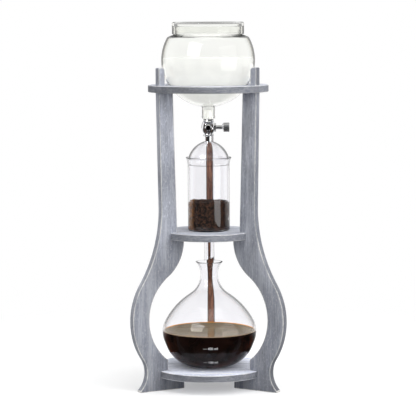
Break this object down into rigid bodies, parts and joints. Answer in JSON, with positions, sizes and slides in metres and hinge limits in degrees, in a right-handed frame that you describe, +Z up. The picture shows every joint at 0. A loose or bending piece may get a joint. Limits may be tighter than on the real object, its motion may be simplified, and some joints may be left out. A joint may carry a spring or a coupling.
{
  "type": "cold drip coffee tower",
  "caption": "Cold drip coffee tower: three bowed timber legs carry a glass ice-water globe with a needle valve, a brewing chamber with a drip tube and a waisted carafe.",
  "frame": {"origin": "on the floor, on the tower's vertical axis (the common axis of globe, valve, chamber and carafe)", "axes": "+Z up; one leg stands straight behind the axis on +Y, the two others at 210 and 330 degrees; the valve's knob points along +X and its plug faces the front, -Y"},
  "size_m": [0.246, 0.2339, 0.58],
  "materials": {
    "timber": "grey washed, satin, worn lighter along its edges",
    "beech": "plain dowel",
    "globe_glass": "clear",
    "clear_glass": "clear",
    "chrome": "polished",
    "needle_steel": "turned",
    "filter_steel": "perforated sheet",
    "zinc_steel": "zinc plated",
    "silicone": "translucent white silicone",
    "black_rubber": "matt"
  },
  "bodies": {
    "frame": {"leg_back": "timber", "leg_left": "timber", "leg_right": "timber", "top_ring": "timber", "middle_shelf": "timber", "bottom_plate": "timber", "dowels": "beech", "foot_screws": "zinc_steel"},
    "reservoir": {"water_globe": "globe_glass", "outlet_stopper": "silicone", "collar_washer": "black_rubber", "valve_body": "chrome", "valve_plug": "chrome", "plug_seal": "black_rubber", "packing_nut": "chrome", "stem_packing": "black_rubber", "valve_nozzle": "chrome"},
    "cap": {"globe_lid": "globe_glass"},
    "needle": {"valve_needle": "needle_steel"},
    "knob": {"valve_knob": "chrome", "knob_set_screw": "zinc_steel"},
    "chamber": {"brew_chamber": "clear_glass", "filter_ring": "silicone", "filter_disc": "filter_steel"},
    "dome": {"dome_lid": "clear_glass"},
    "carafe_body": {"carafe": "clear_glass"}
  },
  "joints": [
    {"name": "reservoir_lift", "type": "slide", "parent": "frame", "child": "reservoir", "axis": [0, 0, 1], "range_m": [0, 0.2]},
    {"name": "cap_lift", "type": "slide", "parent": "reservoir", "child": "cap", "axis": [0, 0, 1], "range_m": [0, 0.04]},
    {"name": "needle_travel", "type": "slide", "parent": "reservoir", "child": "needle", "axis": [1, 0, 0], "range_m": [-0.001, 0.0031]},
    {"name": "knob_turn", "type": "hinge", "parent": "needle", "child": "knob", "pos_m": [0.027, 0, 0.4137], "axis": [1, 0, 0], "range_deg": [-345, 1080]},
    {"name": "chamber_lift", "type": "slide", "parent": "frame", "child": "chamber", "axis": [0, 0, 1], "range_m": [0, 0.06]},
    {"name": "dome_lift", "type": "slide", "parent": "chamber", "child": "dome", "axis": [0, 0, 1], "range_m": [0, 0.06]},
    {"name": "carafe_slide", "type": "slide", "parent": "frame", "child": "carafe_body", "axis": [0, -1, 0], "range_m": [0, 0.2]}
  ],
  "couplings": [
    {"joint": "needle_travel", "follows": "knob_turn", "m_per_rad": 0.00015915},
    {"joint": "chamber_lift", "follows": "reservoir_lift", "ratio": 0.3},
    {"joint": "dome_lift", "follows": "reservoir_lift", "ratio": 0.3}
  ]
}
